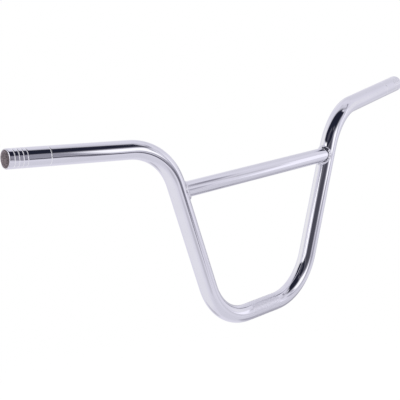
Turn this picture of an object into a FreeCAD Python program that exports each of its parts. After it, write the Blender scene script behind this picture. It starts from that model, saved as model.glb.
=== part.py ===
import FreeCAD, Part
import math
import os

from FreeCAD import Vector

# Handlebar for a small-wheeled stunt bicycle, in millimetres and degrees.
# The origin is the middle of the straight stretch that the stem clamps, +X runs along it to the
# rider's left, +Y points back to the rider and +Z points up.

# Main tube
TUBE_OD = 22.2
TUBE_WALL = 1.25
OVERALL_WIDTH = 736.6       # between the centres of the two open ends
RISE = 247.65               # from the clamped stretch up to the centres of the open ends
CLAMP_STRAIGHT = 58.8
BEND_RADIUS = 75.0          # to the tube's centre line, alike in all four bends
UPRIGHT_ANGLE = 70.0        # upright against the clamped stretch
BACKSWEEP = 10.0
UPSWEEP = 4.0
END_CHAMFER = 0.3

# Crossbar
CROSSBAR_STEP = 3.15        # the crossbar is this much smaller across than the main tube
CROSSBAR_WALL = 1.2
CROSSBAR_DROP = 69.85       # from the centres of the open ends down to the crossbar's axis
WELD_LEG = 3.5

# Cutting marks, measured in from each open end
FIRST_MARK = 6.5
MARK_PITCH = 5.25
MARK_COUNT = 4
LONE_MARK = 50.5
MARK_WIDTH = 0.9
MARK_DEPTH = 0.25

TUBE_RADIUS = TUBE_OD / 2
BORE_RADIUS = TUBE_RADIUS - TUBE_WALL
CROSSBAR_OD = TUBE_OD - CROSSBAR_STEP
CROSSBAR_HEIGHT = RISE - CROSSBAR_DROP


def direction(level_angle, rise_angle):
    """Unit vector that leaves +X by level_angle towards +Y and by rise_angle towards +Z."""
    level = math.radians(level_angle)
    rise = math.radians(rise_angle)
    return Vector(math.cos(rise) * math.cos(level), math.cos(rise) * math.sin(level), math.sin(rise))


def bar_corners():
    """Points where the straight runs of the centre line would meet, from the right end to the left."""
    upright = direction(0, UPRIGHT_ANGLE)
    grip = direction(BACKSWEEP, UPSWEEP)
    lower_x = CLAMP_STRAIGHT / 2 + BEND_RADIUS * math.tan(math.radians(UPRIGHT_ANGLE) / 2)
    lean = upright.x / upright.z
    grip_run = (OVERALL_WIDTH / 2 - lower_x - RISE * lean) / (grip.x - grip.z * lean)
    upright_run = (RISE - grip_run * grip.z) / upright.z
    lower = Vector(lower_x, 0, 0)
    upper = lower + upright * upright_run
    left_half = [lower, upper, upper + grip * grip_run]
    right_half = [Vector(-point.x, point.y, point.z) for point in reversed(left_half)]
    return right_half + left_half


def bent_path(corners, radius):
    """Wire of straight runs whose corners are rounded by tangent arcs of one radius."""
    edges = []
    run_start = corners[0]
    for before, corner, after in zip(corners, corners[1:], corners[2:]):
        arriving = (corner - before).normalize()
        leaving = (after - corner).normalize()
        half_turn = arriving.getAngle(leaving) / 2
        cut_back = radius * math.tan(half_turn)
        bend_start = corner - arriving * cut_back
        bend_end = corner + leaving * cut_back
        crown = corner + (leaving - arriving).normalize() * (radius / math.cos(half_turn) - radius)
        edges.append(Part.LineSegment(run_start, bend_start).toShape())
        edges.append(Part.Arc(bend_start, crown, bend_end).toShape())
        run_start = bend_end
    edges.append(Part.LineSegment(run_start, corners[-1]).toShape())
    return Part.Wire(edges)


CORNERS = bar_corners()
CENTRE_LINE = bent_path(CORNERS, BEND_RADIUS)
RUNS = CENTRE_LINE.OrderedEdges
GRIP_RUN = RUNS[0].Length
# Each open end as its centre and the direction in along the tube
OPEN_ENDS = [
    (CORNERS[0], (CORNERS[1] - CORNERS[0]).normalize()),
    (CORNERS[-1], (CORNERS[-2] - CORNERS[-1]).normalize()),
]


def right_disc(diameter, distance):
    """Round face across the right grip stretch, at a distance in from its open end."""
    centre, inward = OPEN_ENDS[0]
    return Part.Face(Part.Wire(Part.makeCircle(diameter / 2, centre + inward * distance, inward)))


# The main tube as if it were solid: its outer form
MAIN_ROD = CENTRE_LINE.makePipe(right_disc(TUBE_OD, 0))


def grip_outline():
    """Half section of a grip stretch, as distances in from the open end and radii."""
    outline = [(0, TUBE_RADIUS - END_CHAMFER), (END_CHAMFER, TUBE_RADIUS)]
    for mark in [FIRST_MARK + MARK_PITCH * step for step in range(MARK_COUNT)] + [LONE_MARK]:
        outline.append((mark - MARK_WIDTH / 2, TUBE_RADIUS))
        outline.append((mark, TUBE_RADIUS - MARK_DEPTH))
        outline.append((mark + MARK_WIDTH / 2, TUBE_RADIUS))
    outline += [(GRIP_RUN, TUBE_RADIUS), (GRIP_RUN, BORE_RADIUS)]
    return outline + [(END_CHAMFER, BORE_RADIUS), (0, BORE_RADIUS + END_CHAMFER), outline[0]]


def grip_stretch(centre, inward):
    """Straight tube at an open end, turned about its axis, with chamfered rims and V-shaped cutting marks."""
    outward = inward.cross(Vector(0, 0, 1)).normalize()
    points = [centre + inward * distance + outward * radius for distance, radius in grip_outline()]
    return Part.Face(Part.makePolygon(points)).revolve(centre, inward, 360)


def main_bar():
    """One tube through four bends: the bent middle, carried on by a grip stretch at each end."""
    section = right_disc(TUBE_OD, GRIP_RUN).cut(right_disc(2 * BORE_RADIUS, GRIP_RUN))
    middle = Part.Wire(RUNS[1:-1]).makePipe(section).Solids[0]
    return middle.fuse([grip_stretch(centre, inward) for centre, inward in OPEN_ENDS]).Solids[0]


def level_rod(diameter):
    """Round rod along the crossbar's axis, over the whole width of the bar."""
    start = Vector(-OVERALL_WIDTH / 2, 0, CROSSBAR_HEIGHT)
    return Part.makeCylinder(diameter / 2, OVERALL_WIDTH, start, Vector(1, 0, 0))


def between_uprights(shape):
    """The stretch of a level rod or tube between the uprights, its ends mitred to their curve."""
    return min(shape.cut(MAIN_ROD).Solids, key=lambda solid: abs(solid.CenterOfMass.x))


def crossbar():
    """Level tube whose fish-mouth ends sit on the uprights."""
    return between_uprights(level_rod(CROSSBAR_OD).cut(level_rod(CROSSBAR_OD - 2 * CROSSBAR_WALL)))


def left_saddle(joined):
    """Edges round the crossbar's left end: those of its skin that stay left of the middle."""
    crown = Part.Vertex(0, 0, CROSSBAR_HEIGHT + CROSSBAR_OD / 2)
    skin = min(joined.Faces, key=lambda face: face.distToShape(crown)[0])
    return [edge for edge in skin.Edges if edge.BoundBox.XMin > 0]


def weld_beads():
    """The fillet weld round the saddle-shaped mitre at the crossbar's left end, and its mirror image."""
    joined = MAIN_ROD.fuse(between_uprights(level_rod(CROSSBAR_OD)))
    left_bead = joined.makeChamfer(WELD_LEG, left_saddle(joined)).cut(joined).Solids[0]
    return Part.makeCompound([left_bead, left_bead.mirror(Vector(0, 0, 0), Vector(1, 0, 0))])


def main():
    nodes = {"main_bar": main_bar(), "crossbar": crossbar(), "weld_beads": weld_beads()}
    os.makedirs("parts", exist_ok=True)
    for name, shape in nodes.items():
        shape.exportStep(f"parts/{name}.step")


main()
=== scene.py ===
import math

import bpy
import numpy as np
from mathutils import Matrix, Vector


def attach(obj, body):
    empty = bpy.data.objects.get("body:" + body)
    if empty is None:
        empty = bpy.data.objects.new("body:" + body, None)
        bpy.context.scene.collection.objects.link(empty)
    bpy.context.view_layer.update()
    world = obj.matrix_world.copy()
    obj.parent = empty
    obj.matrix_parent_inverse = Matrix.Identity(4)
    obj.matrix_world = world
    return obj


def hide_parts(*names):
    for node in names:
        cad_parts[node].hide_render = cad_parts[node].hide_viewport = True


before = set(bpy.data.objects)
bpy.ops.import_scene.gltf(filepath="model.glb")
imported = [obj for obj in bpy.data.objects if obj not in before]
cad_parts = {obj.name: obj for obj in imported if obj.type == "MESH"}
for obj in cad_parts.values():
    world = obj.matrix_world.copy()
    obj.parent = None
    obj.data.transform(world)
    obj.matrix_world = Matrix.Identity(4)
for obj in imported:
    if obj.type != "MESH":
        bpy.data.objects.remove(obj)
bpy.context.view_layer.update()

# Sizes of the bar, in metres
TUBE_RADIUS = 0.0111
TUBE_WALL = 0.00125
BORE_RADIUS = TUBE_RADIUS - TUBE_WALL
OVERALL_WIDTH = 0.7366
RISE = 0.24765
CLAMP_STRAIGHT = 0.0588
BEND_RADIUS = 0.075
UPRIGHT_ANGLE = math.radians(70.0)
BACKSWEEP = math.radians(10.0)
UPSWEEP = math.radians(4.0)
RIM_ROUND = 0.0008
BORE_EDGE = 0.0003
CROSSBAR_RADIUS = 0.009525
CROSSBAR_WALL = 0.0012
CROSSBAR_HEIGHT = 0.1778
WELD_LEG = 0.0035

# The upright at +X: its axis starts half a clamp stretch plus radius * tan(turn / 2) from the middle
LOWER_CORNER = np.array([CLAMP_STRAIGHT / 2 + BEND_RADIUS * math.tan(UPRIGHT_ANGLE / 2), 0.0, 0.0])
UPRIGHT = np.array([math.cos(UPRIGHT_ANGLE), 0.0, math.sin(UPRIGHT_ANGLE)])

# Factors that give the mirror image at -X
MIRROR = np.array([-1.0, 1.0, 1.0])

# Ring marks, measured in from each open end
FIRST_MARK = 0.0065
MARK_PITCH = 0.00525
MARK_COUNT = 4
LONE_MARK = 0.0505
MARK_WIDTH = 0.0015
MARK_DEPTH = 0.0003

# Knurled stretch in the clamp
KNURL_HALF = 0.027
KNURL_TEETH = 72
KNURL_DEPTH = 0.0001
KNURL_FADE = 0.0012

# Weld beads
RIPPLE_COUNT = 21
RIPPLE_DEPTH = 0.00022
RIPPLE_SWEEP = 0.55
RIPPLE_POWER = 0.7
RIPPLE_MIDDLE = 0.6
BEAD_CROWN = 0.0007
BEAD_ROOT = 0.0006

# How finely the surfaces are divided
TUBE_SIDES = 96
KNURL_STEPS = 3
KNURL_SIDES = TUBE_SIDES * KNURL_STEPS
BEND_STEP = 0.0024
BORE_STEP = 0.009
MARK_RINGS = 9
RIM_RINGS = 9
CROSSBAR_RINGS = 41
BEAD_RINGS = 15
RIPPLE_STEPS = 12
TUBE_CREASE = math.radians(35.0)
BEAD_CREASE = math.radians(60.0)

# Extra plain rings that keep the skin straight: beside the knurl in metres, beside a mark in widths of
# the mark from its middle, and before the rim in radii of its round from the end
KNURL_GUARD = np.array([0.0003, 0.0008])
MARK_GUARD = np.array([0.6, 1.0])
RIM_GUARD = np.array([3.0, 1.5])

# Photograph's camera
EYE = Vector((-1.1087, -0.9185, 0.4529))
AHEAD = Vector((0.7198, 0.6615, -0.2103)).normalized()
ABOVE = Vector((0.1790, 0.1159, 0.9770)).normalized()
IMAGE_WIDTH = 400
FOCAL_PIXELS = 1160.8
SENSOR = 36.0

# Colours of the metal
PLATE_DIM = (0.78, 0.78, 0.82, 1.0)
PLATE_CLEAR = (0.82, 0.82, 0.87, 1.0)
# Ring marks: a matt groove with a paler plate, which is partly a painted glint
MARK_PLATE_AND_PAINTED_GLINT = (0.90, 0.90, 0.92, 1.0)
STEEL_DARK = (0.50, 0.45, 0.47, 1.0)
STEEL_PALE = (0.74, 0.67, 0.70, 1.0)
WELD_RIDGE = (0.80, 0.80, 0.84, 1.0)
# Plate in the weld's ripple valleys, darkened as painted shade
WELD_VALLEY_SHADE = (0.62, 0.61, 0.66, 1.0)

# Patterns in the metal, as features in a metre, and how long and how deep the polishing lines are
POLISHING_LINES = 1400.0
PLATE_CLOUDS = 60.0
STEEL_SPOTS = 420.0
WELD_GRAIN = 900.0
LINE_STRETCH = 0.03
LINE_RELIEF = 0.05

# Roughness of the metal
POLISH = 0.035
POLISH_VARIES = 0.03
KNURL_SATIN = 0.22
MARK_MATT = 0.18
STEEL_DULL = 0.4
STEEL_DULL_VARIES = 0.2
WELD_SATIN = 0.10
WELD_SATIN_VARIES = 0.10
WELD_VALLEY_DULL = 0.12

# How much less metallic a ring mark and the bore are than the plate
MARK_MATT_SHARE = 0.5
STEEL_DULL_SHARE = 0.35

# Studio
FLOOR_DROP = 0.36
FLOOR_RADIUS = 0.95
FLOOR_FADE = 0.7
FLOOR_SIDES = 96
FLOOR_PAINT = (0.80, 0.79, 0.86, 1.0)
FLOOR_GLOW = (0.20, 0.21, 0.14, 1.0)
LAMP_SIZE = 0.8
LAMP_HEIGHT = 1.2
LAMP_POWER = 2.0
TENT_RADIUS = 1.3
TENT_SHIFT = 0.7
TENT_BEARINGS = 64
TENT_LEVELS = 33
TENT_POLE = 0.499 * math.pi
BAR_MIDDLE = (0.0, 0.0, 0.12)

# Dark opening of the tent: where it faces, how its edge leans with height about a level, the two soft
# edges as shares along its facing direction, and the heights between which it starts, in degrees
OPENING_AZIMUTH = 222.5
OPENING_LEVEL = 58.0
OPENING_LEAN = 0.004
OPENING_EDGE = (-0.18, 0.01)
OPENING_FRINGE = (-0.44, -0.10)
OPENING_FRINGE_SHARE = 0.15
OPENING_FOOT = (17.0, 41.0)

# Colours of the tent's wall, from dark to bright
DARK = (0.018, 0.019, 0.036, 1.0)
DARK_GREY = (0.085, 0.083, 0.105, 1.0)
FRONT_GREY = (0.11, 0.105, 0.14, 1.0)
STREAK_GREY = (0.15, 0.146, 0.175, 1.0)
MID_GREY = (0.33, 0.32, 0.38, 1.0)
LOW_GREY = (0.41, 0.40, 0.45, 1.0)
LINE_GREY = (0.46, 0.45, 0.52, 1.0)
EDGE_PALE = (0.62, 0.61, 0.67, 1.0)
UNDER_PALE = (0.69, 0.68, 0.75, 1.0)
DIM_PALE = (0.76, 0.75, 0.825, 1.0)
PALE = (0.83, 0.815, 0.90, 1.0)
FLOOR_PALE = (0.90, 0.89, 0.94, 1.0)
BACK_PALE = (1.0, 0.995, 0.985, 1.0)
WHITE = (1.0, 1.0, 1.0, 1.0)
COOL_WHITE = (1.12, 1.10, 1.20, 1.0)
BRIGHT = (1.25, 1.24, 1.26, 1.0)
GLARE = (1.5, 1.49, 1.5, 1.0)


# Vectors

def unit(vectors):
    """Vectors scaled to length 1."""
    return vectors / np.linalg.norm(vectors, axis=-1, keepdims=True)


def turned(vectors, axis, angles):
    """Vectors turned about a unit axis: v cos(a) + (axis x v) sin(a) + axis (axis . v) (1 - cos(a))."""
    cosines = np.cos(angles)[:, None]
    sines = np.sin(angles)[:, None]
    along = axis * (vectors @ axis)
    return vectors * cosines + np.cross(axis, vectors) * sines + along * (1.0 - cosines)


# Centre line of the main bar

def bar_corners():
    """Points where the bar's straight runs would meet, from the end at -X to the end at +X.

    The upright and the grip share the width and rise beyond the lower corner: two equations in their two
    lengths.
    """
    level = math.cos(UPSWEEP)
    grip = np.array([level * math.cos(BACKSWEEP), level * math.sin(BACKSWEEP), math.sin(UPSWEEP)])
    spans = np.array([[UPRIGHT[0], grip[0]], [UPRIGHT[2], grip[2]]])
    lengths = np.linalg.solve(spans, np.array([OVERALL_WIDTH / 2 - LOWER_CORNER[0], RISE]))
    upper = LOWER_CORNER + UPRIGHT * lengths[0]
    half = np.array([LOWER_CORNER, upper, upper + grip * lengths[1]])
    return np.vstack([half[::-1] * MIRROR, half])


class CentreLine:
    """The bar's line as straight runs and tangent arcs, walked by length from the end at -X.

    On an arc the point is start + radius * (sin(a) * tangent + (1 - cos(a)) * inward), and the crosswise
    directions are turned by the same angle as the tangent, so that they never twist about the line.
    """

    def __init__(self, corners):
        self.runs = []
        self.bends = []
        travelled = 0.0
        start = corners[0]
        heading = unit(corners[1] - corners[0])
        across = unit(np.cross(heading, np.array([0.0, 0.0, 1.0])))
        for corner, following in zip(corners[1:-1], corners[2:]):
            leaving = unit(following - corner)
            turn = math.acos(float(heading @ leaving))
            cut = BEND_RADIUS * math.tan(turn / 2)
            arc_start = corner - heading * cut
            self.runs.append((travelled, start, heading, across, None))
            travelled += np.linalg.norm(arc_start - start)
            axis = unit(np.cross(heading, leaving))
            self.runs.append((travelled, arc_start, heading, across, axis))
            self.bends.append((travelled, travelled + turn * BEND_RADIUS))
            travelled += turn * BEND_RADIUS
            across = turned(across[None], axis, np.array([turn]))[0]
            start = corner + leaving * cut
            heading = leaving
        self.runs.append((travelled, start, heading, across, None))
        self.length = travelled + np.linalg.norm(corners[-1] - start)

    def at(self, places):
        """Points, and the two crosswise unit vectors, at an array of lengths along the line."""
        points = np.empty((len(places), 3))
        across = np.empty((len(places), 3))
        tangents = np.empty((len(places), 3))
        starts = np.array([run[0] for run in self.runs])
        which = np.clip(np.searchsorted(starts, places, side="right") - 1, 0, len(starts) - 1)
        for number, (begun, start, heading, side, axis) in enumerate(self.runs):
            here = which == number
            gone = places[here] - begun
            if axis is None:
                points[here] = start + gone[:, None] * heading
                tangents[here] = heading
                across[here] = side
            else:
                angles = gone / BEND_RADIUS
                inward = np.cross(axis, heading)
                forward = np.sin(angles)[:, None] * heading
                points[here] = start + BEND_RADIUS * (forward + (1.0 - np.cos(angles))[:, None] * inward)
                tangents[here] = turned(heading[None], axis, angles)
                across[here] = turned(side[None], axis, angles)
        return points, across, np.cross(tangents, across)


# Meshes

def strip_faces(first, rings, sides, closed=False):
    """Quads between neighbouring rings of a grid whose first vertex has a given number.

    Closed joins the last ring to the first. Corners go round the ring first and then on to the next ring,
    which points the face away from the tube's wall.
    """
    ring = np.arange(rings if closed else rings - 1)[:, None]
    side = np.arange(sides)[None, :]
    here = ring * sides
    following = (ring + 1) % rings * sides
    beside = (side + 1) % sides
    corners = np.broadcast_arrays(here + side, here + beside, following + beside, following + side)
    return first + np.stack(corners, axis=-1).reshape(-1, 4)


def smooth_piece(name, points, faces, attributes, sharp_angle):
    """A mesh object at the origin with smooth faces, and with values stored on its points.

    Edges past an angle stay sharp.
    """
    mesh = bpy.data.meshes.new(name)
    mesh.from_pydata(points.tolist(), [], faces)
    mesh.polygons.foreach_set("use_smooth", np.ones(len(mesh.polygons), dtype=bool))
    mesh.set_sharp_from_angle(angle=sharp_angle)
    for key, values in attributes.items():
        if values.ndim == 2:
            mesh.attributes.new(key, "FLOAT_VECTOR", "POINT").data.foreach_set("vector", values.ravel())
        else:
            mesh.attributes.new(key, "FLOAT", "POINT").data.foreach_set("value", values)
    mesh.update()
    piece = bpy.data.objects.new(name, mesh)
    bpy.context.scene.collection.objects.link(piece)
    return piece


def circle(sides):
    """Angles of evenly spaced points round a ring."""
    return np.linspace(0.0, 2.0 * math.pi, sides, endpoint=False)


def swept(line, places, radii, sides):
    """Rings of points round the line, ring by ring: centre + radius * (across cos(a) + beside sin(a)).

    Radii are one per ring, or one per point. The second result is the same tube pulled straight, as
    (radius cos(a), radius sin(a), length), which patterns on the skin follow.
    """
    angles = circle(sides)
    cosines = np.cos(angles)
    sines = np.sin(angles)
    centres, across, beside = line.at(places)
    radii = np.broadcast_to(radii if np.ndim(radii) == 2 else radii[:, None], (len(places), sides))
    spokes = across[:, None] * cosines[None, :, None] + beside[:, None] * sines[None, :, None]
    points = centres[:, None] + radii[..., None] * spokes
    lengths = np.broadcast_to(places[:, None], radii.shape)
    straight = np.stack([radii * cosines, radii * sines, lengths], axis=-1)
    return points.reshape(-1, 3), straight.reshape(-1, 3)


# Main bar

def bend_places(line, step):
    """Lengths along the line that divide each bend evenly, ends included."""
    return np.concatenate([np.linspace(a, b, int(round((b - a) / step)) + 1) for a, b in line.bends])


def end_profile():
    """Skin of an open end from the innermost ring mark to the rim, as distances from the end and radii.

    Each mark is a groove of depth * (1 + cos) / 2 across its width, and the rim's edge is a quarter round.
    """
    across = np.concatenate([-MARK_GUARD[::-1], np.linspace(-0.5, 0.5, MARK_RINGS), MARK_GUARD])
    groove = np.where(np.abs(across) < 0.5, 0.5 + 0.5 * np.cos(2.0 * math.pi * across), 0.0)
    marks = np.append(FIRST_MARK + MARK_PITCH * np.arange(MARK_COUNT), LONE_MARK)
    places = marks[:, None] + across * MARK_WIDTH
    radii = np.broadcast_to(TUBE_RADIUS - MARK_DEPTH * groove, places.shape)
    quarter = np.linspace(0.0, math.pi / 2, RIM_RINGS)
    rim_places = RIM_ROUND * np.append(RIM_GUARD, 1.0 - np.sin(quarter))
    rim_radii = TUBE_RADIUS - RIM_ROUND * np.append(np.zeros(len(RIM_GUARD)), 1.0 - np.cos(quarter))
    return np.append(places.ravel()[::-1], rim_places), np.append(radii.ravel()[::-1], rim_radii)


def plain_rings(line):
    """Lengths along the line, and radii, of every ring but the knurl's.

    They run from the knurl's +X edge out to that end, back through the bore to the other end and in to the
    knurl's -X edge.
    """
    middle = line.length / 2
    end_places, end_radii = end_profile()
    bends = bend_places(line, BEND_STEP)
    near = bends[bends < middle - KNURL_HALF]
    far = bends[bends > middle + KNURL_HALF]
    bore = bend_places(line, BORE_STEP)[::-1]
    far_rim = np.array([line.length, line.length - BORE_EDGE])
    rim_radii = np.array([BORE_RADIUS + BORE_EDGE, BORE_RADIUS])
    guard = np.full(len(KNURL_GUARD), TUBE_RADIUS)
    places = np.concatenate([
        middle + KNURL_HALF + KNURL_GUARD, far, line.length - end_places, far_rim, bore,
        line.length - far_rim[::-1], end_places[::-1], near, middle - KNURL_HALF - KNURL_GUARD[::-1]])
    radii = np.concatenate([
        guard, np.full(len(far), TUBE_RADIUS), end_radii, rim_radii, np.full(len(bore), BORE_RADIUS),
        rim_radii[::-1], end_radii[::-1], np.full(len(near), TUBE_RADIUS), guard])
    return places, radii


def knurl_rings():
    """Offsets of the knurl's rings from the middle of the clamp, their radii, and their share of the depth.

    The height is the lesser of two triangle waves that spiral in opposite senses, so that it is two
    crossing sets of grooves, which fade out at both edges.
    """
    girth = 2.0 * math.pi * TUBE_RADIUS
    pitch = girth / KNURL_TEETH
    rings = int(round(2.0 * KNURL_HALF / (girth / KNURL_SIDES))) + 1
    offsets = np.linspace(-KNURL_HALF, KNURL_HALF, rings)
    turns = circle(KNURL_SIDES)[None, :] * KNURL_TEETH / (2.0 * math.pi)
    travel = offsets[:, None] / pitch
    waves = [np.abs(2.0 * np.mod(turns + hand * travel, 1.0) - 1.0) for hand in (1.0, -1.0)]
    share = np.clip((KNURL_HALF - np.abs(offsets)) / KNURL_FADE, 0.0, 1.0)
    radii = TUBE_RADIUS + KNURL_DEPTH * share[:, None] * (np.minimum(*waves) - 0.5)
    return offsets, radii, share


def main_bar(line):
    """The bent tube as one closed skin, with its ring marks, open ends, bore and knurled clamp stretch.

    The knurl's rings have more points than the plain ones, and six-sided faces join the two kinds.
    """
    places, radii = plain_rings(line)
    offsets, knurl_radii, knurl_share = knurl_rings()
    plain_points, plain_straight = swept(line, places, radii, TUBE_SIDES)
    knurl_points, knurl_straight = swept(line, line.length / 2 + offsets, knurl_radii, KNURL_SIDES)

    first_fine = len(plain_points)
    last_plain = first_fine - TUBE_SIDES
    last_fine = first_fine + len(knurl_points) - KNURL_SIDES
    plain = np.arange(TUBE_SIDES)
    beside = (plain + 1) % TUBE_SIDES
    spread = [(plain * KNURL_STEPS + step) % KNURL_SIDES for step in range(KNURL_STEPS + 1)]
    into = [last_plain + plain, last_plain + beside] + [first_fine + fine for fine in spread[::-1]]
    out = [last_fine + fine for fine in spread] + [beside, plain]
    faces = strip_faces(0, len(places), TUBE_SIDES).tolist()
    faces += strip_faces(first_fine, len(offsets), KNURL_SIDES).tolist()
    faces += np.stack(into, axis=-1).tolist() + np.stack(out, axis=-1).tolist()

    points = np.vstack([plain_points, knurl_points])
    straight = np.vstack([plain_straight, knurl_straight])
    bare = np.hypot(straight[:, 0], straight[:, 1]) < BORE_RADIUS + BORE_EDGE / 2
    from_end = np.minimum(places, line.length - places)
    in_mark = (from_end > RIM_ROUND) & (radii > BORE_RADIUS + BORE_EDGE)
    scored = np.where(in_mark, (TUBE_RADIUS - radii) / MARK_DEPTH, 0.0)
    values = {
        "unbent": straight,
        "bare": bare.astype(float),
        "knurled": np.append(np.zeros(first_fine), np.repeat(knurl_share, KNURL_SIDES)),
        "scored": np.append(np.repeat(scored, TUBE_SIDES), np.zeros(len(knurl_points)))}
    return smooth_piece("main_bar_skin", points, faces, values, TUBE_CREASE)


# Crossbar and welds

def saddle(angles, radius):
    """Where a level tube along X, of some radius, meets the upright at +X, as the X of each point round it.

    The upright's inner face at height z and depth y is at axis(z) - sqrt(R^2 - y^2) / sin(lean), with the
    axis at the lower corner plus z / tan(lean).
    """
    depth = radius * np.sin(angles)
    height = CROSSBAR_HEIGHT + radius * np.cos(angles)
    axis = LOWER_CORNER[0] + height / math.tan(UPRIGHT_ANGLE)
    return axis - np.sqrt(TUBE_RADIUS ** 2 - depth ** 2) / math.sin(UPRIGHT_ANGLE)


def crossbar():
    """Straight tube between the uprights: X goes evenly from saddle to saddle, outside and back inside."""
    angles = circle(TUBE_SIDES)
    shares = np.linspace(-1.0, 1.0, CROSSBAR_RINGS)
    inner = CROSSBAR_RADIUS - CROSSBAR_WALL
    radii = np.repeat([CROSSBAR_RADIUS, inner], len(shares))
    reach = np.where((radii == inner)[:, None], saddle(angles, inner), saddle(angles, CROSSBAR_RADIUS))
    across = np.concatenate([shares, shares[::-1]])[:, None] * reach
    depth = radii[:, None] * np.sin(angles)
    height = radii[:, None] * np.cos(angles)
    points = np.stack([across, -depth, CROSSBAR_HEIGHT + height], axis=-1).reshape(-1, 3)
    straight = np.stack([height, depth, across], axis=-1).reshape(-1, 3)
    faces = strip_faces(0, len(radii), TUBE_SIDES, closed=True).tolist()
    inside = np.repeat((radii == inner).astype(float), TUBE_SIDES)
    smooth = np.zeros(len(points))
    values = {"unbent": straight, "bare": inside, "knurled": smooth, "scored": smooth}
    return smooth_piece("crossbar_skin", points, faces, values, TUBE_CREASE)


def from_upright(points):
    """Each point's offset from the upright's axis, square to it: v - (v . lean) lean."""
    offset = points - LOWER_CORNER
    return offset - (offset @ UPRIGHT)[:, None] * UPRIGHT


def weld_bead(name, hand):
    """One rippled fillet weld round a saddle: rings across the bead, carried round the crossbar.

    At each angle the bead spans from a toe on the crossbar to a toe on the upright, straight between them
    plus a crown of sin(pi v). Ripples are |cos| lobes whose phase lags towards the toes, so that each is a
    crescent. The section closes through a root just under both skins.
    """
    count = RIPPLE_COUNT * RIPPLE_STEPS
    angles = circle(count)
    outward = np.stack([np.zeros(count), np.sin(angles), np.cos(angles)], axis=-1)
    corner = CROSSBAR_RADIUS * outward
    corner[:, 0] = saddle(angles, CROSSBAR_RADIUS)
    corner[:, 2] += CROSSBAR_HEIGHT
    upright_normal = unit(from_upright(corner))
    up_skin = unit(outward - (outward * upright_normal).sum(1)[:, None] * upright_normal)
    past_skin = corner + WELD_LEG * up_skin
    radial = from_upright(past_skin)
    upright_toe = past_skin - radial + TUBE_RADIUS * unit(radial)
    crossbar_toe = corner - np.array([WELD_LEG, 0.0, 0.0])

    shares = np.linspace(0.0, 1.0, BEAD_RINGS)[:, None]
    phase = angles * RIPPLE_COUNT / 2 + RIPPLE_SWEEP * (2.0 * shares - 1.0) ** 2 * math.pi
    lobes = np.abs(np.cos(phase)) ** RIPPLE_POWER
    crown = np.sin(math.pi * shares) * (BEAD_CROWN + RIPPLE_DEPTH * (lobes - RIPPLE_MIDDLE))
    chord = crossbar_toe + (upright_toe - crossbar_toe) * shares[..., None]
    surface = chord + crown[..., None] * unit(outward + upright_normal)
    under_upright = upright_toe - BEAD_ROOT * upright_normal
    root = corner - BEAD_ROOT * (outward + upright_normal)
    under_crossbar = crossbar_toe - BEAD_ROOT * outward
    hidden = np.stack([under_upright, root, under_crossbar])
    rings = np.concatenate([surface, hidden])
    valley = np.concatenate([1.0 - lobes, np.zeros((len(hidden), count))])
    if hand < 0:
        rings = (rings * MIRROR)[::-1]
        valley = valley[::-1]
    faces = strip_faces(0, len(rings), count, closed=True)[:, ::-1].tolist()
    return smooth_piece(name, rings.reshape(-1, 3), faces, {"valley": valley.ravel()}, BEAD_CREASE)


# Shader wiring

class Wire:
    """A value in a node tree: sums, differences and products of it become Math nodes."""

    def __init__(self, tree, socket=None):
        self.tree = tree
        self.socket = socket

    def node(self, kind, inputs=None, output=0, **settings):
        """A new node of a type, as a wire from one of its outputs.

        Its settings are set first, then the values or links of its sockets.
        """
        made = self.tree.nodes.new(kind)
        for key, setting in settings.items():
            setattr(made, key, setting)
        for key, value in (inputs or {}).items():
            if isinstance(value, Wire):
                self.tree.links.new(value.socket, made.inputs[key])
            else:
                made.inputs[key].default_value = value
        return Wire(self.tree, made.outputs[output] if len(made.outputs) else None)

    def maths(self, operation, first, second=0.0):
        """A Math node on one or two values."""
        return self.node("ShaderNodeMath", {0: first, 1: second}, operation=operation)

    def __add__(self, other):
        return self.maths("ADD", self, other)

    def __radd__(self, other):
        return self.maths("ADD", other, self)

    def __sub__(self, other):
        return self.maths("SUBTRACT", self, other)

    def __rsub__(self, other):
        return self.maths("SUBTRACT", other, self)

    def __mul__(self, other):
        return self.maths("MULTIPLY", self, other)

    def __rmul__(self, other):
        return self.maths("MULTIPLY", other, self)

    def step(self, start, end):
        """0 up to start, 1 from end on, and a smooth rise between them."""
        limits = {"Value": self, "From Min": start, "From Max": end}
        return self.node("ShaderNodeMapRange", limits, interpolation_type="SMOOTHSTEP")

    def tint(self, low, high):
        """A colour that goes from low to high as this value goes from 0 to 1."""
        return self.node("ShaderNodeMix", {0: self, 6: low, 7: high}, output=2, data_type="RGBA")

    def along(self, way):
        """This vector's share along a fixed direction."""
        return self.node("ShaderNodeVectorMath", {0: self, 1: way}, output="Value", operation="DOT_PRODUCT")

    def stretched(self, factors):
        """This vector with each of its parts multiplied by a number."""
        return self.node("ShaderNodeVectorMath", {0: self, 1: factors}, operation="MULTIPLY")


def empty_tree(owner):
    """An owner's node tree with nothing in it, as a wire to start from."""
    owner.use_nodes = True
    owner.node_tree.nodes.clear()
    return Wire(owner.node_tree)


# Materials

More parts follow.
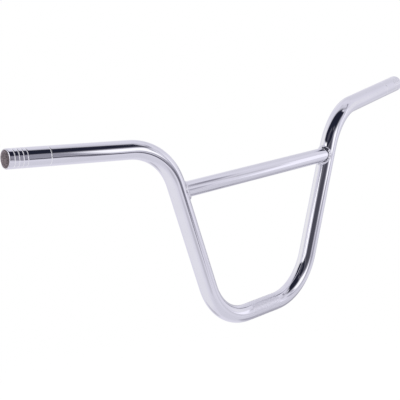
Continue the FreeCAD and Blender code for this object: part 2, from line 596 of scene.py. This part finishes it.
def tube_chrome():
    """Polished chrome with faint lengthwise polishing lines.

    The ring marks are matt and paler, the paler plate a painted glint; the knurl is satin, the bore dull
    bare steel.
    """
    material = bpy.data.materials.new("polished_chrome_plate")
    start = empty_tree(material)
    place = start.node("ShaderNodeAttribute", output="Vector", attribute_name="unbent")
    bare, knurled, scored = [
        start.node("ShaderNodeAttribute", output="Fac", attribute_name=key)
        for key in ("bare", "knurled", "scored")]
    drawn = place.stretched((1.0, 1.0, LINE_STRETCH))
    lines = start.node("ShaderNodeTexNoise", {"Vector": drawn, "Scale": POLISHING_LINES, "Detail": 3.0})
    cloud = start.node("ShaderNodeTexNoise", {"Vector": place, "Scale": PLATE_CLOUDS, "Detail": 4.0})
    spots = start.node("ShaderNodeTexNoise", {"Vector": place, "Scale": STEEL_SPOTS, "Detail": 6.0})
    # The ring marks get a paler plate, partly a painted glint on the grooves
    plate = scored.tint(cloud.tint(PLATE_DIM, PLATE_CLEAR), MARK_PLATE_AND_PAINTED_GLINT)
    steel = spots.step(0.3, 0.7).tint(STEEL_DARK, STEEL_PALE)
    polish = POLISH + POLISH_VARIES * cloud + POLISH_VARIES * lines
    dull = STEEL_DULL + STEEL_DULL_VARIES * spots
    relief = lines * (1.0 - bare) * LINE_RELIEF + spots * bare
    bump = start.node(
        "ShaderNodeBump", {"Height": relief, "Strength": 0.2, "Distance": 0.0001}, output="Normal")
    shader = start.node("ShaderNodeBsdfPrincipled", {
        "Base Color": bare.tint(plate, steel),
        "Roughness": polish + KNURL_SATIN * knurled + MARK_MATT * scored + dull * bare,
        "Metallic": 1.0 - STEEL_DULL_SHARE * bare - MARK_MATT_SHARE * scored,
        "Normal": bump})
    start.node("ShaderNodeOutputMaterial", {"Surface": shader})
    return material


def weld_chrome():
    """Chrome over a weld: satin, rougher between the ripples and a little darker there, the darkening
    painted shade.
    """
    material = bpy.data.materials.new("chromed_weld_plate")
    start = empty_tree(material)
    place = start.node("ShaderNodeTexCoord", output="Object")
    valley = start.node("ShaderNodeAttribute", output="Fac", attribute_name="valley")
    grain = start.node("ShaderNodeTexNoise", {"Vector": place, "Scale": WELD_GRAIN, "Detail": 4.0})
    bump = start.node(
        "ShaderNodeBump", {"Height": grain, "Strength": 0.15, "Distance": 0.0002}, output="Normal")
    shader = start.node("ShaderNodeBsdfPrincipled", {
        # Painted shade: the plate darkens towards the ripple valleys
        "Base Color": valley.tint(WELD_RIDGE, WELD_VALLEY_SHADE),
        "Roughness": WELD_SATIN + WELD_SATIN_VARIES * grain + WELD_VALLEY_DULL * valley,
        "Metallic": 1.0,
        "Normal": bump})
    start.node("ShaderNodeOutputMaterial", {"Surface": shader})
    return material


# Light tent

def toward(azimuth):
    """Level unit vector at an azimuth in degrees, from +Y round through +X."""
    turn = math.radians(azimuth)
    return Vector((math.sin(turn), math.cos(turn), 0.0))


class Surround:
    """Directions from the bar's middle out to the light tent, and the colour that its wall has there."""

    def __init__(self, direction, colour):
        self.direction = direction
        self.colour = colour
        upward = direction.along((0.0, 0.0, 1.0))
        self.height = direction.maths("ARCSINE", upward) * math.degrees(1.0)

    def bearing(self, azimuth):
        """Degrees round the tent from an azimuth, negative on one side of it and positive on the other."""
        side = self.direction.along(toward(azimuth + 90.0))
        front = self.direction.along(toward(azimuth))
        return self.direction.maths("ARCTAN2", side, front) * math.degrees(1.0)

    def paint(self, mask, colour):
        """Lay a colour over the wall where the mask is 1."""
        self.colour = mask.tint(self.colour, colour)

    def panel(self, colour, sides, foot, top, slope=0.0):
        """Paint a soft-edged stretch of the wall, in degrees.

        Sides are its azimuth, half its width and how soft they are. Foot and top are each a height and how
        soft it is. A slope, in degrees of height for each degree of bearing, slants foot and top.
        """
        azimuth, half_width, side_soft = sides
        low, low_soft = foot
        high, high_soft = top
        bearing = self.bearing(azimuth)
        across = self.direction.maths("ABSOLUTE", bearing)
        height = self.height - bearing * slope
        beside = across.step(half_width + side_soft, half_width - side_soft)
        above = height.step(low - low_soft, low + low_soft)
        below = height.step(high + high_soft, high - high_soft)
        self.paint(beside * above * below, colour)


def paint_low_walls(wall):
    """Pale walls behind and below the bar, and the greys towards +X and -Y."""
    # Behind, low at -X, and under the bar
    wall.panel(BACK_PALE, (340.0, 32.0, 20.0), (-15.0, 10.0), (45.0, 15.0))
    wall.panel(FLOOR_PALE, (290.0, 55.0, 25.0), (-72.0, 6.0), (-20.0, 6.0))
    wall.panel(DIM_PALE, (150.0, 60.0, 25.0), (-100.0, 5.0), (-36.0, 8.0))
    # Towards +X
    wall.panel(DIM_PALE, (72.0, 22.0, 8.0), (18.0, 6.0), (44.0, 6.0))
    wall.panel(EDGE_PALE, (72.0, 24.0, 8.0), (-26.0, 10.0), (5.0, 6.0))
    wall.panel(DIM_PALE, (87.0, 8.0, 4.0), (-18.0, 3.0), (-11.0, 3.0))
    wall.panel(LOW_GREY, (83.0, 20.0, 14.0), (-50.0, 10.0), (-28.0, 5.0))
    wall.panel(LINE_GREY, (103.0, 14.0, 6.0), (-58.0, 4.0), (-43.0, 3.0))
    # Towards -Y, below the horizon
    wall.panel(DIM_PALE, (133.0, 9.0, 4.0), (-30.0, 4.0), (-12.0, 4.0))
    wall.panel(UNDER_PALE, (120.0, 9.0, 4.0), (-37.0, 4.0), (-25.0, 4.0))
    wall.panel(EDGE_PALE, (197.0, 14.0, 9.0), (-40.0, 5.0), (-26.0, 5.0))
    wall.panel(LINE_GREY, (147.0, 7.0, 3.0), (-17.0, 3.0), (-4.0, 2.0))
    wall.panel(FRONT_GREY, (155.0, 6.0, 3.0), (-18.0, 3.0), (-9.0, 2.0))
    wall.panel(FRONT_GREY, (166.0, 4.0, 2.0), (-26.0, 4.0), (-14.5, 2.0))
    wall.panel(FRONT_GREY, (173.5, 6.0, 2.0), (-17.0, 4.0), (-4.0, 1.5))


def paint_opening(wall):
    """The dark opening high on the camera's side, with a fringe, and the strips at its two ends."""
    lean = (wall.height - OPENING_LEVEL) * OPENING_LEAN
    reach = wall.direction.along(toward(OPENING_AZIMUTH)) + lean
    edge = reach.step(*OPENING_EDGE) * (1.0 - OPENING_FRINGE_SHARE)
    fringe = reach.step(*OPENING_FRINGE) * OPENING_FRINGE_SHARE
    wall.paint((edge + fringe) * wall.height.step(*OPENING_FOOT), DARK)
    # Strips at the end towards +X
    wall.panel(DARK, (138.0, 4.5, 1.5), (32.0, 3.0), (46.0, 3.0))
    wall.panel(PALE, (132.5, 2.5, 1.5), (38.0, 2.0), (54.0, 3.0))
    wall.panel(LINE_GREY, (126.5, 2.5, 1.5), (36.0, 3.0), (47.0, 3.0))
    # Strips at the end towards -X
    wall.panel(DARK, (310.0, 13.0, 5.0), (48.0, 4.0), (68.0, 5.0))
    wall.panel(PALE, (303.0, 16.0, 6.0), (15.0, 5.0), (40.0, 4.0))
    wall.panel(EDGE_PALE, (294.0, 5.0, 3.0), (5.0, 4.0), (34.0, 5.0))


def paint_front(wall):
    """The dark wall on the camera's side, the bright panels beside it, and the thin lines between them."""
    # Grey lines between -Y and +X
    wall.panel(MID_GREY, (118.5, 9.0, 2.0), (36.5, 2.0), (42.0, 2.0), slope=-0.75)
    wall.panel(EDGE_PALE, (129.5, 2.5, 1.0), (12.0, 3.0), (27.0, 3.0))
    wall.panel(LINE_GREY, (138.5, 2.5, 1.0), (-6.0, 3.0), (8.0, 3.0))
    # Dark wall and its streaks
    wall.panel(DARK_GREY, (208.0, 29.5, 3.0), (-5.0, 3.0), (30.0, 6.0))
    wall.panel(DARK, (214.0, 28.0, 4.0), (30.0, 4.0), (50.0, 6.0))
    wall.panel(DARK_GREY, (244.0, 19.0, 5.0), (44.0, 4.0), (62.0, 4.0))
    wall.panel(STREAK_GREY, (187.0, 8.0, 4.0), (46.0, 4.0), (54.0, 4.0), slope=0.4)
    wall.panel(STREAK_GREY, (226.0, 10.0, 5.0), (57.0, 3.0), (66.0, 3.0))
    # Bright panel towards -Y, with its edges
    wall.panel(MID_GREY, (174.5, 5.0, 1.5), (-2.5, 1.5), (36.0, 6.0))
    wall.panel(BRIGHT, (157.5, 10.5, 1.5), (-4.0, 1.5), (25.0, 5.0))
    wall.panel(LINE_GREY, (145.0, 3.0, 1.5), (13.0, 3.0), (22.0, 3.0))
    wall.panel(PALE, (163.5, 3.5, 1.5), (-12.0, 2.0), (-3.0, 2.0))
    wall.panel(UNDER_PALE, (138.0, 3.0, 2.0), (-12.0, 3.0), (-6.0, 2.0))
    # Glare at -X, with its pale edge
    wall.panel(GLARE, (268.0, 15.0, 3.0), (14.0, 3.0), (42.0, 3.0))
    wall.panel(PALE, (296.0, 15.0, 4.0), (30.0, 4.0), (41.5, 2.0))
    # Slanting white panel at +X, and the pale and grey stretches round it
    wall.panel(COOL_WHITE, (126.0, 5.5, 2.0), (-11.0, 3.0), (16.0, 4.0), slope=-3.0)
    wall.panel(FLOOR_PALE, (112.0, 8.0, 4.0), (-3.0, 5.0), (20.0, 5.0))
    wall.panel(LINE_GREY, (154.0, 11.0, 3.0), (-8.5, 2.0), (-1.0, 1.5))
    wall.panel(UNDER_PALE, (132.0, 4.0, 2.0), (-22.0, 3.0), (-13.0, 3.0))


def paint_touches(wall):
    """Small stretches of wall, each for one band on the tubes: two behind the bar and two towards +X."""
    wall.panel(EDGE_PALE, (0.0, 20.0, 8.0), (-74.0, 4.0), (-50.0, 4.0))
    wall.panel(FLOOR_PALE, (42.0, 9.0, 5.0), (21.0, 4.0), (34.0, 4.0))
    wall.panel(DIM_PALE, (122.0, 3.0, 2.0), (21.0, 3.0), (31.0, 3.0))
    wall.panel(UNDER_PALE, (82.0, 14.0, 6.0), (61.0, 3.0), (71.0, 3.0))


def paint_rear(wall):
    """Low dark and bright panels behind the bar, which only its other sides mirror."""
    wall.panel(DARK_GREY, (309.0, 12.0, 4.0), (-26.0, 3.0), (-12.0, 3.0))
    wall.panel(BRIGHT, (316.0, 10.0, 4.0), (-3.0, 3.0), (10.0, 3.0))
    wall.panel(DARK_GREY, (357.0, 10.0, 4.0), (-18.0, 3.0), (-8.0, 3.0))
    wall.panel(DARK_GREY, (268.0, 12.0, 4.0), (-27.0, 3.0), (-13.0, 3.0))


def tent_wall():
    """Glowing wall of the tent, painted by direction from the bar's middle, later panels over earlier."""
    material = bpy.data.materials.new("tent_wall")
    start = empty_tree(material)
    place = start.node("ShaderNodeTexCoord", output="Object")
    offset = start.node("ShaderNodeVectorMath", {0: place, 1: BAR_MIDDLE}, operation="SUBTRACT")
    direction = start.node("ShaderNodeVectorMath", {0: offset}, operation="NORMALIZE")
    wall = Surround(direction, PALE)
    paint_low_walls(wall)
    paint_opening(wall)
    paint_front(wall)
    paint_touches(wall)
    paint_rear(wall)
    glow = start.node("ShaderNodeEmission", {"Color": wall.colour, "Strength": 1.0})
    start.node("ShaderNodeOutputMaterial", {"Surface": glow})
    return material


def light_tent():
    """Round tent that the metal mirrors, set off to +X so that the bar's halves mirror it differently.

    A ball on a grid of bearings and heights. The camera, diffuse light and shadows pass through it.
    """
    bearings = circle(TENT_BEARINGS)[None, :]
    heights = np.linspace(-TENT_POLE, TENT_POLE, TENT_LEVELS)[:, None]
    ball = np.broadcast_arrays(
        np.cos(heights) * np.cos(bearings), np.cos(heights) * np.sin(bearings), np.sin(heights))
    centre = np.array(BAR_MIDDLE) + np.array([TENT_SHIFT, 0.0, 0.0])
    points = TENT_RADIUS * np.stack(ball, axis=-1).reshape(-1, 3) + centre
    mesh = bpy.data.meshes.new("light_tent")
    mesh.from_pydata(points.tolist(), [], strip_faces(0, TENT_LEVELS, TENT_BEARINGS).tolist())
    mesh.materials.append(tent_wall())
    tent = bpy.data.objects.new("light_tent", mesh)
    bpy.context.scene.collection.objects.link(tent)
    tent.visible_camera = False
    tent.visible_diffuse = False
    tent.visible_shadow = False
    return tent


# Studio

def studio_world():
    """Plain white all round, which is what the camera sees behind the bar and what lights the floor."""
    world = bpy.data.worlds.new("studio")
    bpy.context.scene.world = world
    start = empty_tree(world)
    background = start.node("ShaderNodeBackground", {"Color": WHITE, "Strength": 1.0})
    start.node("ShaderNodeOutputWorld", {"Surface": background})


def floor_paint():
    """Pale paint that takes the shadow, with a glow that whitens it, and clear at the floor's edge."""
    material = bpy.data.materials.new("pale_floor")
    start = empty_tree(material)
    place = start.node("ShaderNodeTexCoord", output="Object")
    level = place.stretched((1.0, 1.0, 0.0))
    radius = start.node("ShaderNodeVectorMath", {0: level}, output="Value", operation="LENGTH")
    paint = start.node("ShaderNodeBsdfDiffuse", {"Color": FLOOR_PAINT})
    rays = [
        start.node("ShaderNodeLightPath", output=kind)
        for kind in ("Is Camera Ray", "Is Glossy Ray", "Is Transmission Ray")]
    seen = rays[0] + rays[1] + rays[2]
    glow = start.node("ShaderNodeEmission", {"Color": FLOOR_GLOW, "Strength": seen})
    surface = start.node("ShaderNodeAddShader", {0: paint, 1: glow})
    clear = start.node("ShaderNodeBsdfTransparent")
    edge = radius.step(FLOOR_RADIUS * FLOOR_FADE, FLOOR_RADIUS)
    mixed = start.node("ShaderNodeMixShader", {0: edge, 1: surface, 2: clear})
    start.node("ShaderNodeOutputMaterial", {"Surface": mixed})
    return material


def floor():
    """A round pale floor under the bar, which takes its shadow; the metal mirrors the tent in its place."""
    rim = circle(FLOOR_SIDES)
    drop = np.full(FLOOR_SIDES, -FLOOR_DROP)
    points = np.stack([FLOOR_RADIUS * np.cos(rim), FLOOR_RADIUS * np.sin(rim), drop], axis=-1)
    mesh = bpy.data.meshes.new("studio_floor")
    mesh.from_pydata(points.tolist(), [], [list(range(FLOOR_SIDES))])
    mesh.materials.append(floor_paint())
    ground = bpy.data.objects.new("studio_floor", mesh)
    bpy.context.scene.collection.objects.link(ground)
    ground.visible_glossy = False
    return ground


def overhead_lamp():
    """A large soft lamp over the bar, for its shadow on the floor; the metal mirrors the tent instead."""
    lamp = bpy.data.lights.new("overhead_lamp", "AREA")
    lamp.shape = "DISK"
    lamp.size = LAMP_SIZE
    lamp.energy = LAMP_POWER
    holder = bpy.data.objects.new("overhead_lamp", lamp)
    holder.location = (0.0, 0.0, LAMP_HEIGHT)
    holder.visible_camera = False
    holder.visible_glossy = False
    bpy.context.scene.collection.objects.link(holder)


def camera():
    """The photograph's camera, as fitted to the bar's outline."""
    lens = bpy.data.cameras.new("photo_camera")
    lens.sensor_width = SENSOR
    lens.lens = FOCAL_PIXELS / IMAGE_WIDTH * SENSOR
    holder = bpy.data.objects.new("photo_camera", lens)
    across = AHEAD.cross(ABOVE).normalized()
    upward = across.cross(AHEAD)
    turn = Matrix((across, upward, -AHEAD)).transposed()
    holder.matrix_world = Matrix.Translation(EYE) @ turn.to_4x4()
    bpy.context.scene.collection.objects.link(holder)
    bpy.context.scene.camera = holder


# Assembly

camera()
studio_world()
floor()
light_tent()
overhead_lamp()
bpy.context.scene.view_settings.view_transform = "Standard"

bar = main_bar(CentreLine(bar_corners()))
brace = crossbar()
left_bead = weld_bead("left_weld_bead", 1.0)
right_bead = weld_bead("right_weld_bead", -1.0)

chrome = tube_chrome()
for piece, node in ((bar, "main_bar"), (brace, "crossbar")):
    piece.data.materials.append(chrome)
    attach(piece, "root")
    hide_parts(node)

weld_plate = weld_chrome()
for piece in (left_bead, right_bead):
    piece.data.materials.append(weld_plate)
    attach(piece, "root")
    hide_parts("weld_beads")
